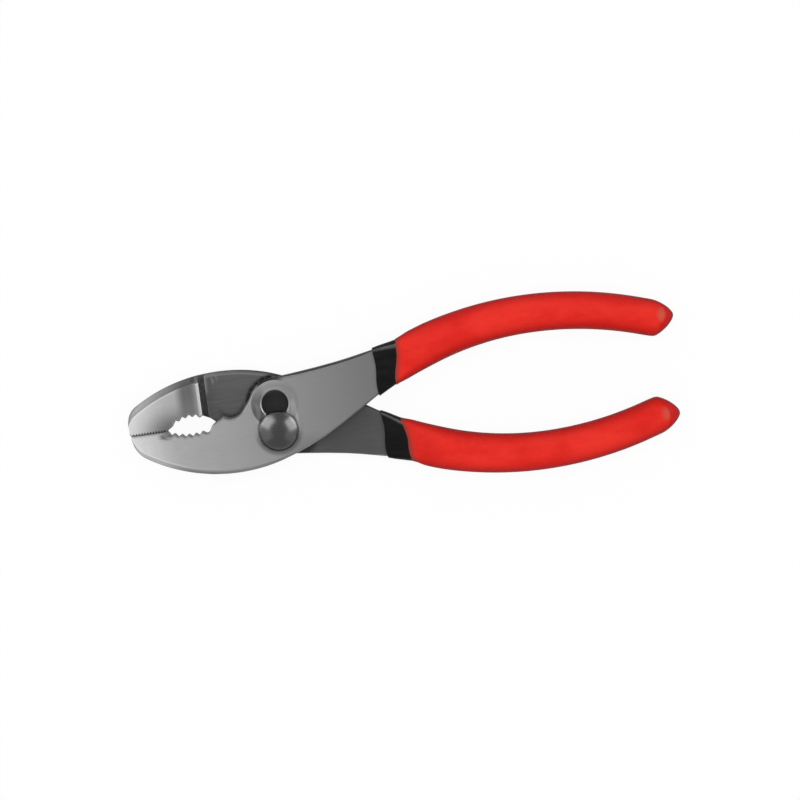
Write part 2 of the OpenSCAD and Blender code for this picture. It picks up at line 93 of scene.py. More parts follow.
# Places of marks on the steel, in millimetres from the pivot axis
PIVOT = (0, 0)
UPPER_HOLE = (0, 8.15)
WIRE_NOTCH = (-13.3, 10.2)
PIPE_GRIP = (-27.5, 4.3)
BEHIND_STEP = (-18.0, 18.3)
BEFORE_PIPE_GRIP = (-33.6, 2.9)
ABOVE_TEETH = (-31.0, 3.5)
BEHIND_BOLT = (8, -6)
# Ways that the front lever's edges face where a highlight is painted on them, and where shade is painted on
# them
HIGHLIGHT_WAY = (-0.82, -0.57, 0)
SHADE_WAY = (0.5, 0.87, 0)

# Ridge before each grip's tip, in millimetres, and the turn of the marks on it
FRONT_TAIL = (118.3, 18.3, 9.5)
FRONT_TAIL_TURN = math.radians(16)
REAR_TAIL = (115.6, -11.0, 9.5)
REAR_TAIL_TURN = math.radians(-10)

# Samples for each look at a rounded edge
EDGE_SAMPLES = 8
# Turn of the ring pattern on bolt and nut for each millimetre away from the pivot axis, in radians
TURNING = 24.0

# Reds of the second dip; the tip, slope and side reds are painted shade, and the scuffed red is partly a
# painted highlight
RED = (0.70, 0.019, 0.013, 1)
LIGHT_RED = (0.82, 0.034, 0.023, 1)
FLECK_RED = (0.6, 0.012, 0.009, 1)
TIP_SHADE_RED = (0.5, 0.008, 0.008, 1)
SLOPE_SHADE_RED = (0.5, 0.008, 0.007, 1)
SIDE_SHADE_RED = (0.3, 0.003, 0.003, 1)
SCUFF_AND_SHEEN_RED = (0.42, 0.16, 0.1, 1)
THIN_RED = (0.15, 0.05, 0.042, 1)

# The photo's view: its tilt on the tool, its width and middle in metres, and the camera that sees it
PHOTO_TILT = math.radians(8)
PHOTO_WIDTH = 0.24
PHOTO_CENTRE = Vector((37.23 * MM, 4.07 * MM, lap_z))
CAMERA_DISTANCE = 1.5
CAMERA_SENSOR = 36
CAMERA_CLIP = 20
image_right = Vector((math.cos(PHOTO_TILT), -math.sin(PHOTO_TILT), 0))
image_up = Vector((math.sin(PHOTO_TILT), math.cos(PHOTO_TILT), 0))

# Floor: its size, its gap to the tool, and how much of it shows as plain white
FLOOR_SIZE = 12
FLOOR_GAP = 0.01 * MM
FLOOR_WHITE = 0.93
# Strength of the light from all round
WORLD_LIGHT = 0.5
# Side lamps that only reflections show: name, angles round and above in degrees, size in metres, and shine
SIDE_DISTANCE = 1.0
SIDE_LAMPS = (
    ("left_softbox", 143, 23, (0.92, 0.82), 2.9),
    ("right_softbox", 29, 22, (0.86, 0.82), 3.3),
    ("left_panel", 195, 27, (0.9, 1.0), 0.5),
    ("right_panel", 340, 27, (0.9, 1.0), 0.4),
)
# Lamp over the tool that lights it without showing in reflections
FRONT_DISTANCE = 1.8
FRONT_LAMP = ("front_softbox", 270, 90, FRONT_DISTANCE, (1.6, 1.6), 2.6)


# Modelling helpers
def pick(piece):
    """Selects one object alone and makes it the active one."""
    if bpy.context.object and bpy.context.object.mode != "OBJECT":
        bpy.ops.object.mode_set(mode="OBJECT")
    bpy.ops.object.select_all(action="DESELECT")
    piece.select_set(True)
    bpy.context.view_layer.objects.active = piece


def edit_all(piece):
    """Leaves the piece in edit mode with all of it selected."""
    pick(piece)
    bpy.ops.object.mode_set(mode="EDIT")
    bpy.ops.mesh.select_all(action="SELECT")


def copy_of(node, name):
    """A merged copy of a CAD node's mesh, to be finished as a piece of its own."""
    piece = bpy.data.objects.new(name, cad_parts[node].data.copy())
    bpy.context.scene.collection.objects.link(piece)
    piece.data.materials.clear()
    pick(piece)
    bpy.ops.mesh.customdata_custom_splitnormals_clear()
    edit_all(piece)
    bpy.ops.mesh.remove_doubles(threshold=MERGE)
    bpy.ops.mesh.mark_sharp(clear=True)
    bpy.ops.object.mode_set(mode="OBJECT")
    return piece


def select_sharp(piece, angle):
    """Leaves the piece in edit mode with just the edges selected that are sharper than the angle."""
    pick(piece)
    bpy.ops.object.mode_set(mode="EDIT")
    bpy.ops.mesh.select_mode(type="EDGE")
    bpy.ops.mesh.select_all(action="DESELECT")
    mesh = bmesh.from_edit_mesh(piece.data)
    for edge in mesh.edges:
        edge.select_set(len(edge.link_faces) == 2 and edge.calc_face_angle(0) > angle)
    bmesh.update_edit_mesh(piece.data)


def round_off(piece, angle, radius):
    """Rounds the piece's sharp edges off."""
    select_sharp(piece, angle)
    bpy.ops.mesh.bevel(offset=radius, segments=3, affect="EDGES")
    bpy.ops.object.mode_set(mode="OBJECT")


def apply_all(piece):
    """Makes the piece's modifiers part of its mesh."""
    pick(piece)
    for modifier in list(piece.modifiers):
        bpy.ops.object.modifier_apply(modifier=modifier.name)


def finish_piece(piece, node, body, material):
    """Hands the piece to the frame in place of its CAD node."""
    piece.data.materials.append(material)
    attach(piece, body)
    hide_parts(node)


# Material helpers
class Finish:
    """One material's node tree, with short names for the nodes that a finish is made of."""

    def __init__(self, name):
        self.material = bpy.data.materials.new(name)
        self.material.use_nodes = True
        self.tree = self.material.node_tree
        self.shader = self.tree.nodes["Principled BSDF"]
        self.places = self.tree.nodes.new("ShaderNodeTexCoord")

    def put(self, value, socket):
        """Links a socket, or sets it to a plain value."""
        if isinstance(value, bpy.types.NodeSocket):
            self.tree.links.new(value, socket)
        elif value is not None:
            socket.default_value = value

    def mapped(self, scale, centre=(0, 0, 0), turn=(0, 0, 0)):
        """Object coordinates about a centre, turned and scaled."""
        moved = self.tree.nodes.new("ShaderNodeMapping")
        moved.vector_type = "POINT"
        moved.inputs["Location"].default_value = [-c for c in centre]
        self.tree.links.new(self.places.outputs["Object"], moved.inputs["Vector"])
        sized = self.tree.nodes.new("ShaderNodeMapping")
        sized.inputs["Rotation"].default_value = turn
        sized.inputs["Scale"].default_value = scale
        self.tree.links.new(moved.outputs["Vector"], sized.inputs["Vector"])
        return sized.outputs["Vector"]

    def noise(self, vector, detail=3.0, roughness=0.55):
        made = self.tree.nodes.new("ShaderNodeTexNoise")
        self.put(vector, made.inputs["Vector"])
        made.inputs["Scale"].default_value = 1.0
        made.inputs["Detail"].default_value = detail
        made.inputs["Roughness"].default_value = roughness
        return made.outputs["Fac"]

    def ramp(self, value, low, high, to_low=0.0, to_high=1.0, kind="SMOOTHSTEP"):
        """Smooth or straight step of a value from one range to another."""
        made = self.tree.nodes.new("ShaderNodeMapRange")
        made.interpolation_type = kind
        self.put(value, made.inputs["Value"])
        for key, number in zip(("From Min", "From Max", "To Min", "To Max"), (low, high, to_low, to_high)):
            made.inputs[key].default_value = number
        return made.outputs["Result"]

    def band(self, value, low, high, soft):
        """Share of one between two values, falling off softly outside them."""
        return self.all_of(self.ramp(value, low - soft, low), self.ramp(value, high + soft, high))

    def math(self, operation, a, b=None):
        made = self.tree.nodes.new("ShaderNodeMath")
        made.operation = operation
        self.put(a, made.inputs[0])
        self.put(b, made.inputs[1])
        return made.outputs[0]

    def all_of(self, first, *others):
        """Product of shares, where a plain number only weakens the rest."""
        for other in others:
            first = self.math("MULTIPLY", first, other)
        return first

    def mix(self, share, a, b):
        made = self.tree.nodes.new("ShaderNodeMix")
        made.data_type = "RGBA"
        self.put(share, made.inputs["Factor"])
        self.put(a, made.inputs[6])
        self.put(b, made.inputs[7])
        return made.outputs[2]

    def laid(self, colour, tone, *shares):
        """A colour with a tone laid over it where all the shares are high."""
        return self.mix(self.all_of(*shares), colour, tone)

    def axes(self, vector):
        made = self.tree.nodes.new("ShaderNodeSeparateXYZ")
        self.put(vector, made.inputs[0])
        return made.outputs["X"], made.outputs["Y"], made.outputs["Z"]

    def length(self, vector):
        made = self.tree.nodes.new("ShaderNodeVectorMath")
        made.operation = "LENGTH"
        self.put(vector, made.inputs[0])
        return made.outputs["Value"]

    def dot(self, vector, way):
        made = self.tree.nodes.new("ShaderNodeVectorMath")
        made.operation = "DOT_PRODUCT"
        self.put(vector, made.inputs[0])
        self.put(way, made.inputs[1])
        return made.outputs["Value"]

    def away(self, centre):
        """Distance in millimetres from an upright axis."""
        return self.length(self.mapped(per_mm(1, 1, 0), metres(*centre, 0)))

    def spot(self, centre, half_x, half_y, inner):
        """Soft oval mark by its middle and half sizes in millimetres, full up to its inner share."""
        scale = (1 / (half_x * MM), 1 / (half_y * MM), 0)
        return self.ramp(self.length(self.mapped(scale, metres(*centre, 0))), 1.0, inner)

    def ring(self, centre, radius, width, soft):
        """Soft ring about an upright axis, by its middle, outer radius and width in millimetres."""
        return self.band(self.away(centre), radius - width, radius, soft)

    def rounded(self, radius):
        """Normal of the surface with its edges rounded off."""
        made = self.tree.nodes.new("ShaderNodeBevel")
        made.samples = EDGE_SAMPLES
        made.inputs["Radius"].default_value = radius
        return made.outputs["Normal"]

    def edges(self, radius, away, full):
        """Share of an edge close by, from the turn of the rounded surface against the true one."""
        surface = self.tree.nodes.new("ShaderNodeNewGeometry")
        return self.ramp(self.dot(self.rounded(radius), surface.outputs["True Normal"]), away, full)

    def leaning(self, radius, way):
        """How far the surface, with its edges rounded off, leans one way on the piece."""
        made = self.tree.nodes.new("ShaderNodeVectorTransform")
        made.vector_type = "NORMAL"
        made.convert_from = "WORLD"
        made.convert_to = "OBJECT"
        self.put(self.rounded(radius), made.inputs[0])
        return self.dot(made.outputs[0], way)

    def attribute(self, name):
        made = self.tree.nodes.new("ShaderNodeAttribute")
        made.attribute_name = name
        return made.outputs["Fac"]

    def bump(self, height, strength, distance, below=None):
        made = self.tree.nodes.new("ShaderNodeBump")
        made.inputs["Strength"].default_value = strength
        made.inputs["Distance"].default_value = distance
        self.put(height, made.inputs["Height"])
        self.put(below, made.inputs["Normal"])
        return made.outputs["Normal"]

    def set(self, **values):
        """Sets the shader's sockets, named in small letters with underscores."""
        for key, value in values.items():
            self.put(value, self.shader.inputs[key.replace("_", " ").title().replace("Ior", "IOR")])


def grey(value, warmth=0.0):
    return (value * (1 + warmth), value, value * (1 - warmth), 1)


def metres(*place):
    """A place given in millimetres, in metres."""
    return [c * MM for c in place]


def per_mm(x, y=None, z=None):
    """Scale that turns metres into counts of so many per millimetre."""
    return tuple(n / MM for n in (x, x if y is None else y, x if z is None else z))


# Finish of the levers
class Forging(Finish):
    """A lever's finish, with the places, slopes and patterns that its marks go by."""

    def __init__(self, name):
        super().__init__(name)
        self.x, self.y, self.z = self.axes(self.places.outputs["Object"])
        self.upper, upright = self.axes(self.places.outputs["Normal"])[1:]
        self.slope = self.math("ABSOLUTE", upright)
        self.flat = self.ramp(self.slope, 0.96, 0.99)
        self.from_lap = self.math("ABSOLUTE", self.math("SUBTRACT", self.z, lap_z))
        self.edge = self.edges(0.8 * MM, 0.995, 0.86)
        self.blotches = self.noise(self.mapped(per_mm(0.09)), detail=4)
        self.lines = self.noise(self.mapped(per_mm(0.2, 7, 7), turn=(0, 0, PHOTO_TILT)), detail=2)
        self.streaks = self.noise(self.mapped(per_mm(0.12, 1.5, 1), turn=(0, 0, math.radians(-70))), detail=4)
        scratches = self.noise(self.mapped(per_mm(0.9, 3, 2)), detail=5, roughness=0.7)
        self.nicks = self.ramp(scratches, 0.66, 0.76)


def ground_face(f):
    """Ground face that gets lighter to the nose as painted light, with faint blotches, grinding lines and
    nicks.
    """
    # Painted light: the face gets lighter towards the nose, most at its tip
    colour = f.mix(f.ramp(f.x, 28 * MM, -32 * MM, kind="LINEAR"), grey(0.275), grey(0.595))
    colour = f.laid(colour, grey(0.87), f.ramp(f.x, -30 * MM, -46 * MM))
    colour = f.laid(colour, grey(0.2), f.ramp(f.blotches, 0.35, 0.7), 0.1)
    colour = f.laid(colour, grey(0.2), f.ramp(f.lines, 0.45, 0.75), 0.1)
    return f.laid(colour, grey(0.2), f.nicks, 0.15)


def front_marks(f, colour, bevel):
    """Painted light and shade: on edges by the way they face, behind the bolt, before the pipe grip, over the
    bolt's seat, below its head and on the slot's chamfer.
    """
    # Painted shade on the face behind the bolt, towards its lower edge
    colour = f.laid(colour, grey(0.2), f.spot(BEHIND_BOLT, 12, 5, 0.2), 0.35)
    flat = f.all_of(f.flat, f.ramp(f.away(UPPER_HOLE), 6.9, 7.4))
    # Painted highlight on edges that face the highlight way, and painted shade on edges that face the shade
    # way
    lightened = f.all_of(f.ramp(f.leaning(1.1 * MM, HIGHLIGHT_WAY), 0.05, 0.22), flat)
    colour = f.laid(colour, grey(0.95), lightened, f.ramp(f.x, -14 * MM, -26 * MM, 0.4, 0.7))
    edge_shade = f.all_of(f.ramp(f.leaning(1.5 * MM, SHADE_WAY), 0.06, 0.26), flat)
    colour = f.laid(colour, grey(0.1), edge_shade, f.ramp(f.x, 12 * MM, 6 * MM, 0.6, 0.85))
    # Painted shade before the pipe grip, broken up by a smear pattern
    smear = f.noise(f.mapped(per_mm(0.5, 2.6, 1), turn=(0, 0, math.radians(40))), detail=3)
    pipe_grip_shade = f.all_of(f.spot(BEFORE_PIPE_GRIP, 3.1, 1.6, 0.3), f.ramp(smear, 0.25, 0.55))
    colour = f.laid(colour, grey(0.13), pipe_grip_shade, 0.85)
    # Painted light and shade on the bolt's seat, with the most shade on its left side
    seat = f.ring(UPPER_HOLE, 6.9, 3.2, 0.4)
    colour = f.laid(colour, grey(0.62), seat, f.ramp(f.x, 5 * MM, 0.0), 0.15)
    colour = f.laid(colour, grey(0.2), seat, f.ramp(f.x, 1.5 * MM, 6 * MM), 0.3)
    left = f.all_of(f.ramp(f.x, -2.0 * MM, -4.2 * MM), f.ramp(f.y, 16 * MM, 9 * MM))
    seat_shade = f.mix(f.ramp(f.y, 9 * MM, 6 * MM), grey(0.15), grey(0.09))
    colour = f.laid(colour, seat_shade, seat, left, 0.87)
    # Painted shadow below the bolt's head
    head_shadow = f.all_of(f.ring(PIVOT, 6.6, 2.2, 1.1), f.ramp(f.y, 1 * MM, -4 * MM))
    colour = f.laid(colour, grey(0.16), head_shadow, 0.75)
    # Painted highlight on the chamfer of the slot's upper hole
    leans = f.all_of(f.ramp(f.slope, 0.95, 0.85), f.ramp(f.slope, 0.5, 0.6))
    chamfer = f.all_of(f.ring(UPPER_HOLE, 4.5, 0.6, 0.1), leans)
    return f.laid(colour, grey(0.45), chamfer), f.math("SUBTRACT", bevel, chamfer)


def rear_marks(f, colour, bevel):
    """Painted shade above the teeth and in the hollow of the jaw's face, and a painted highlight with wear on
    the ridge behind it.
    """
    colour = f.laid(colour, grey(0.13), f.spot(ABOVE_TEETH, 13.5, 10.0, 0.05), 0.92)
    # Painted shade in the hollow of the jaw's face, darker towards the top
    dull_and_shaded = f.mix(f.ramp(f.y, 9 * MM, 15 * MM), grey(0.22), grey(0.165))
    colour = f.laid(colour, dull_and_shaded, f.band(f.x, -26.6 * MM, -24.8 * MM, 3.4 * MM), 0.9)
    # The rim's slopes that lean upwards take the bevels' painted shade
    rim = f.all_of(f.ramp(f.slope, 0.985, 0.94), f.ramp(f.upper, 0.1, 0.2))
    bevel = f.math("MAXIMUM", bevel, rim)
    # Painted highlight on the ridge behind the hollow, broken up by wear
    worn = f.noise(f.mapped(per_mm(0.6, 1.2, 0.6)), detail=4)
    ridge_highlight = f.all_of(f.band(f.x, -22.4 * MM, -22.1 * MM, 0.5 * MM), f.ramp(f.slope, 0.6, 0.85))
    ridge_highlight = f.all_of(ridge_highlight, f.ramp(f.upper, 0.3, 0.1), f.ramp(worn, 0.2, 0.5, 0.5, 1.0))
    ridge_highlight = f.all_of(ridge_highlight, f.ramp(f.y, 18 * MM, 16.4 * MM))
    return f.laid(colour, grey(0.52), ridge_highlight), f.math("SUBTRACT", bevel, ridge_highlight)


def bevel_tones(f):
    """Bevels in painted light where they face the rear handle's side, and in painted shade where they face
    the front handle's.
    """
    depth = f.math("SUBTRACT", steel_half, f.from_lap)
    under = f.mix(f.ramp(depth, 0.05 * MM, 0.7 * MM), grey(0.55), grey(0.28))
    under = f.laid(under, grey(0.62), f.ramp(f.x, -27 * MM, -36 * MM))
    under = f.laid(under, grey(0.26), f.ramp(f.x, -12 * MM, 0.0))
    over = f.mix(f.ramp(f.x, -26 * MM, -42 * MM), grey(0.1), grey(0.2))
    over = f.laid(over, grey(0.055), f.ramp(f.x, -14 * MM, -6 * MM))
    return f.mix(f.ramp(f.upper, -0.15, 0.15), under, over)


def lap_tones(f):
    """Dull lap face with rubbed edges, its tone partly painted shade, with painted shade along the wire notch
    and the boss and round the bolt.
    """
    # Lap tone: partly a duller finish, partly painted shade of the lower level
    dull_and_shaded = f.mix(f.ramp(f.streaks, 0.35, 0.75), grey(0.155), grey(0.18))
    dull_and_shaded = f.laid(dull_and_shaded, grey(0.1), f.ramp(f.x, 5 * MM, 18 * MM, 0.0, 0.5))
    dull_and_shaded = f.laid(dull_and_shaded, grey(0.28), f.nicks, 0.4)
    lightened = f.all_of(f.ramp(f.x, 20 * MM, 0.0, 0.2, 0.5), f.ramp(f.x, -19 * MM, -16 * MM, 0.35, 1.0))
    dull_and_shaded = f.laid(dull_and_shaded, grey(0.4), f.edge, f.flat, lightened)
    back = f.all_of(f.ramp(f.y, 13 * MM, 15.5 * MM), f.ramp(f.x, 6 * MM, 2 * MM))
    dull_and_shaded = f.laid(dull_and_shaded, grey(0.36), f.edges(1.6 * MM, 0.9995, 0.985), f.flat, back)
    smear = f.noise(f.mapped(per_mm(0.9, 0.25, 1), turn=(0, 0, PHOTO_TILT)), detail=4, roughness=0.7)
    dull_and_shaded = f.laid(dull_and_shaded, grey(0.42), f.spot(BEHIND_STEP, 2.6, 2.6, 0.2), f.ramp(smear, 0.45, 0.6), 0.45)
    # Painted shade along the front lever's edge at the wire notch and the boss, broken into patches
    shade_patches = f.ramp(f.noise(f.mapped(per_mm(1.3)), detail=5, roughness=0.75), 0.36, 0.6, 0.5, 1.0)
    notch = f.all_of(f.ring(WIRE_NOTCH, 4.8, 0.8, 1.2), f.ramp(f.y, 11 * MM, 8 * MM))
    notch = f.all_of(notch, f.ramp(f.x, -18 * MM, -15 * MM), 0.7)
    boss = f.ring(UPPER_HOLE, 8.5, 1.0, 1.1)
    dull_and_shaded = f.laid(dull_and_shaded, grey(0.02), f.math("MAXIMUM", notch, boss), shade_patches)
    # Painted shade round the bolt, also over the plate seen through the slot
    return f.laid(dull_and_shaded, grey(0.065), f.ring(PIVOT, 10.5, 10.5, 2.5))


def side_tones(f):
    """Upright sides, with speckled painted shade in the slot, between the jaws and at the step."""
    sides = f.mix(f.ramp(f.streaks, 0.3, 0.7), grey(0.21), grey(0.27))
    in_slot = f.ramp(f.math("ABSOLUTE", f.x), 4.6 * MM, 4.2 * MM)
    in_slot = f.all_of(in_slot, f.band(f.y, -4.4 * MM, 12.6 * MM, 0.3 * MM))
    in_jaws = f.spot(PIPE_GRIP, 10.5, 6.5, 0.9)
    in_step = f.band(f.x, -22.1 * MM, -19.9 * MM, 0.2 * MM)
    dark = f.math("MAXIMUM", f.math("MAXIMUM", in_slot, in_jaws), in_step)
    specks = f.noise(f.mapped(per_mm(1.1)), detail=5, roughness=0.7)
    return f.laid(sides, f.mix(f.ramp(specks, 0.35, 0.65), grey(0.05), grey(0.12)), dark)


def painted_corner_shade(f, colour):
    """Painted shade at the upper end of the step, and where the boss's edge runs up to the back of the tool.
    """
    step = f.all_of(f.band(f.x, -23.9 * MM, -20.5 * MM, 0.9 * MM), f.ramp(f.y, 17.4 * MM, 18.4 * MM))
    colour = f.laid(colour, grey(0.06), step, f.ramp(f.z, lap_z, lap_z + 1 * MM), 0.85)
    crown = f.all_of(f.ring(UPPER_HOLE, 9.6, 2.3, 0.3), f.ramp(f.y, 12.5 * MM, 14 * MM))
    crown = f.all_of(crown, f.ramp(f.x, -5 * MM, -3.8 * MM), f.ramp(f.x, 3.8 * MM, 1 * MM), 0.93)
    tone = f.mix(f.ramp(f.x, -2 * MM, 2 * MM), grey(0.012), grey(0.04))
    return f.laid(colour, tone, crown, f.ramp(f.z, lap_z + 2 * MM, lap_z + 3 * MM))


def tooth_line(f, colour):
    """Painted shade in the gaps between the fine teeth, along the closed jaw line."""
    zigzag = f.math("SINE", f.all_of(f.x, 2 * math.pi / FINE_PITCH))
    from_line = f.math("SUBTRACT", f.y, JAW_LINE + 0.08 * MM)
    from_line = f.math("ABSOLUTE", f.math("SUBTRACT", from_line, f.all_of(zigzag, 0.18 * MM)))
    gaps = f.all_of(f.ramp(from_line, 0.45 * MM, 0.22 * MM), f.ramp(f.x, -32.5 * MM, -33.5 * MM))
    gaps = f.all_of(gaps, f.ramp(f.x, -45 * MM, -36 * MM, 0.55, 0.95))
    return f.laid(colour, grey(0.03), gaps, f.ramp(zigzag, -0.5, 0.4, 0.3, 1.0))


def forged_steel(name, marks):
    """Satin ground forging with its own marks, rubbed edges, bevels and a dull lap, with painted light and
    shade on bevels, lap, sides and teeth.
    """
    f = Forging(name)
    colour, bevel = marks(f, ground_face(f), f.ramp(f.slope, 0.962, 0.87))
    colour = f.laid(colour, grey(0.8), f.edge, f.flat, 0.28)
    colour = f.laid(colour, bevel_tones(f), bevel)
    lap = f.all_of(f.ramp(f.from_lap, 1.9 * MM, 1.3 * MM), f.ramp(f.slope, 0.8, 0.95))
    colour = f.laid(colour, lap_tones(f), lap)
    colour = f.laid(colour, side_tones(f), f.ramp(f.slope, 0.75, 0.35))
    colour = tooth_line(f, painted_corner_shade(f, colour))
    rough = f.math("ADD", f.ramp(f.blotches, 0.2, 0.8, 0.44, 0.5), f.ramp(f.lines, 0.3, 0.8, 0.0, 0.08))
    grain = f.noise(f.mapped(per_mm(5)), detail=2)
    relief = f.bump(f.lines, 0.08, 0.02 * MM, f.rounded(0.15 * MM))
    relief = f.bump(grain, 0.06, 0.02 * MM, relief)
    f.set(base_color=colour, metallic=1.0, roughness=rough, normal=relief)
    return f.material


# Finish of the bolt and the nut
def turned_steel(name, tone):
    """Smooth turned steel with faint rings about the pivot axis, a few spots and a painted highlight on the
    head's upper shoulders.
    """
    f = Finish(name)
    x, y, z = f.axes(f.places.outputs["Object"])
    away = f.away(PIVOT)
    rings = f.math("SINE", f.all_of(away, TURNING))
    cloud = f.noise(f.mapped(per_mm(0.2)), detail=2)
    spots = f.noise(f.mapped(per_mm(0.7)), detail=5, roughness=0.65)
    colour = f.mix(f.ramp(spots, 0.3, 0.75), grey(tone), grey(tone * 0.88))
    colour = f.laid(colour, grey(tone * 3), f.edges(0.25 * MM, 0.99, 0.85), 0.2)
    # Painted highlight on the upper shoulders of the head
    lightened = f.all_of(f.ramp(away, 4.6, 5.9), f.ramp(f.math("ABSOLUTE", x), 1.6 * MM, 3.4 * MM))
    lightened = f.all_of(lightened, f.ramp(y, -1 * MM, 2.5 * MM), f.ramp(z, lap_z, lap_z + 1 * MM))
    colour = f.laid(colour, grey(tone * 2.6), lightened, 0.9)
    rough = f.math("ADD", f.ramp(spots, 0.3, 0.8, 0.25, 0.3), f.ramp(cloud, 0.3, 0.7, 0.0, 0.03))
    relief = f.bump(rings, 0.05, 0.01 * MM)
    relief = f.bump(spots, 0.04, 0.03 * MM, relief)
    f.set(base_color=colour, metallic=1.0, roughness=rough, normal=relief)
    return f.material


# Finishes of the grips
def black_vinyl(name):
    """First dip: near black, satin, with dust, faint runs and a painted highlight on the ridge along its
    upper edge.
    """
    f = Finish(name)
    runs = f.noise(f.mapped(per_mm(0.15, 0.6, 0.6)), detail=3)
    peel = f.noise(f.mapped(per_mm(1.6)), detail=3)
    dust = f.ramp(f.noise(f.mapped(per_mm(2.2)), detail=5, roughness=0.7), 0.62, 0.78)
    upper, upright = f.axes(f.places.outputs["Normal"])[1:]
    # Painted highlight on the ridge along the upper edge, broken up by the runs
    ridge_highlight = f.all_of(f.band(upper, 0.14, 0.34, 0.1), f.ramp(upright, 0.3, 0.6))
    ridge_highlight = f.all_of(ridge_highlight, f.ramp(runs, 0.3, 0.6, 0.6, 1.0))
    colour = f.mix(f.ramp(runs, 0.3, 0.7), grey(0.003), grey(0.006))
    colour = f.laid(colour, grey(0.02, 0.05), dust, 0.3)
    colour = f.laid(colour, grey(0.12), ridge_highlight, 0.8)
    rough = f.math("ADD", f.ramp(runs, 0.3, 0.7, 0.4, 0.5), f.all_of(dust, 0.2))
    relief = f.bump(peel, 0.12, 0.05 * MM)
    f.set(base_color=colour, roughness=rough, normal=relief, specular_ior_level=0.12)
    return f.material


def red_vinyl(name, tail, turn):
    """Second dip: soft gloss red, blotched, thin at its mouth, with painted shade on its slopes, sides and
    tip, and scuffed with a painted highlight on the ridge before its tip.
    """
    f = Finish(name)
    blotches = f.noise(f.mapped(per_mm(0.05, 0.09, 0.09)), detail=4, roughness=0.6)
    flecks = f.noise(f.mapped(per_mm(1.1)), detail=5, roughness=0.7)
    peel = f.noise(f.mapped(per_mm(1.4)), detail=3)
    swell = f.noise(f.mapped(per_mm(0.12, 0.2, 0.2)), detail=2)
    slope = f.math("ABSOLUTE", f.axes(f.places.outputs["Normal"])[2])
    tail, turn = metres(*tail), (0, 0, turn)
    along, across = f.axes(f.mapped(per_mm(1), tail, turn))[:2]
    along = f.math("ADD", along, f.math("MINIMUM", f.all_of(across, across, 0.12), 1.0))
    near = f.ramp(f.length(f.mapped(per_mm(0.36, 0.32, 0.32), tail, turn)), 1.0, 0.2)
    scuff_and_sheen = f.all_of(near, f.ramp(along, 1.5, 0.4), f.ramp(flecks, 0.25, 0.6, 0.4, 1.0))
    thin = f.ramp(f.attribute("from_mouth"), 2.0 * MM, 0.1 * MM)

    colour = f.mix(f.ramp(blotches, 0.35, 0.65), RED, LIGHT_RED)
    colour = f.laid(colour, FLECK_RED, f.ramp(flecks, 0.58, 0.75), 0.2)
    # Painted shade on the tip's facet beyond the ridge, then on the slopes and sides
    colour = f.laid(colour, TIP_SHADE_RED, f.ramp(along, 0.4, 1.2), 0.6)
    colour = f.laid(colour, SLOPE_SHADE_RED, f.ramp(slope, 0.99, 0.45, kind="LINEAR"))
    colour = f.laid(colour, SIDE_SHADE_RED, f.ramp(slope, 0.6, 0.15))
    # Scuff with a painted highlight on the ridge before the tip
    colour = f.laid(colour, SCUFF_AND_SHEEN_RED, scuff_and_sheen, 0.7)
    colour = f.laid(colour, THIN_RED, thin, 0.75)
    rough = f.math("ADD", f.ramp(blotches, 0.3, 0.7, 0.48, 0.56), f.all_of(scuff_and_sheen, 0.2))
    relief = f.bump(peel, 0.1, 0.06 * MM)
    relief = f.bump(swell, 0.3, 0.4 * MM, relief)
    f.set(base_color=colour, roughness=rough, normal=relief, specular_ior_level=0.05)
    return f.material


# Levers, bolt and nut
def whole_faces(piece):
    """Joins the triangles of each flat face."""
    edit_all(piece)
    bpy.ops.mesh.dissolve_limited(angle_limit=FLAT_ANGLE)
    bpy.ops.object.mode_set(mode="OBJECT")


def even_shading(piece, weight):
    """Shades the piece smooth between its sharp edges, with its large faces left even."""
    bpy.ops.object.shade_smooth_by_angle(angle=SMOOTH_ANGLE)
    weighted = piece.modifiers.new("even_faces", "WEIGHTED_NORMAL")
    weighted.keep_sharp = True
    weighted.weight = weight
    apply_all(piece)


def forged_lever(node, name):
    """A lever with even ground faces."""
    lever = copy_of(node, name)
    whole_faces(lever)
    even_shading(lever, LEVER_EVENNESS)
    return lever


def turned_piece(node, name, rim):
    """The bolt or the nut, with its rims rounded off."""
    piece = copy_of(node, name)
    whole_faces(piece)
    round_off(piece, RIM_ANGLE, rim)
    even_shading(piece, TURNED_EVENNESS)
    return piece


# Grips
def mouth_of(coat):
    """Middle of a coat's open end, and the way that it faces."""
    end = min(corner[0] for corner in coat.bound_box) + MOUTH_REACH
    rim = [face for face in coat.data.polygons if face.normal.x < -0.8 and face.center.x < end]
    area = sum(face.area for face in rim)
    middle = sum((face.center * face.area for face in rim), Vector()) / area
    return middle, sum((face.normal * face.area for face in rim), Vector()).normalized()


def smooth_skin(coat):
    """Gives a coat a smooth skin and a rounded lip."""
    edit_all(coat)
    bpy.ops.mesh.tris_convert_to_quads(face_threshold=LIP_ANGLE, shape_threshold=LIP_ANGLE)
    select_sharp(coat, LIP_ANGLE)
    bpy.ops.transform.edge_crease(value=1)
    bpy.ops.object.mode_set(mode="OBJECT")
    rounded = coat.modifiers.new("rounded", "SUBSURF")
    rounded.levels = 2
    rounded.render_levels = 2
    apply_all(coat)
    round_off(coat, LIP_ANGLE, LIP_RIM)
    bpy.ops.object.shade_smooth_by_angle(angle=LIP_ANGLE)


